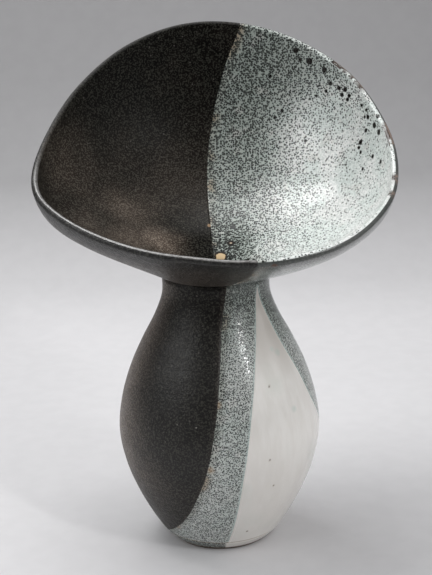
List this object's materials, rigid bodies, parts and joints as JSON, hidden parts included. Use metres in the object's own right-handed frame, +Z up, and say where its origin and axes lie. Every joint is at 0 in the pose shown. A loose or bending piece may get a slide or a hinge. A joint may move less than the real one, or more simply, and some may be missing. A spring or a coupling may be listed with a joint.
{
  "type": "ovoid vase",
  "caption": "Thrown stoneware vase with an ovoid body on a turned foot and a wide hood-shaped mouth that stands up behind its throat, for cut stems.",
  "frame": {"origin": "middle of the foot, on the surface that the vase stands on", "axes": "+Z up through the throat; -Y towards the front, where the lip of the mouth is lowest; +X to the right as seen from the front"},
  "size_m": [0.2607, 0.2171, 0.3675],
  "materials": {
    "bare_clay": "fired stoneware, unglazed and slightly rough",
    "slip": "fired slip, rough",
    "dark_glaze": "satin black-brown glaze",
    "speckled_glaze": "glossy pale grey-green glaze with near-black speckles",
    "white_glaze": "glossy off-white glaze with pinholes",
    "lining_glaze": "glossy dark brown liner glaze"
  },
  "bodies": {
    "root": {"turned_foot": "bare_clay", "body_wall": "bare_clay", "slip_joint": "slip", "mouth_bowl": "bare_clay", "foot_glaze_band": "white_glaze", "body_lining": "lining_glaze", "body_dark_glaze": "dark_glaze", "body_speckled_front_band": "speckled_glaze", "body_white_glaze": "white_glaze", "body_speckled_back": "speckled_glaze", "mouth_outside_dark_glaze": "dark_glaze", "mouth_outside_speckled_glaze": "speckled_glaze", "mouth_inside_dark_glaze": "dark_glaze", "mouth_inside_speckled_glaze": "speckled_glaze"}
  },
  "joints": []
}
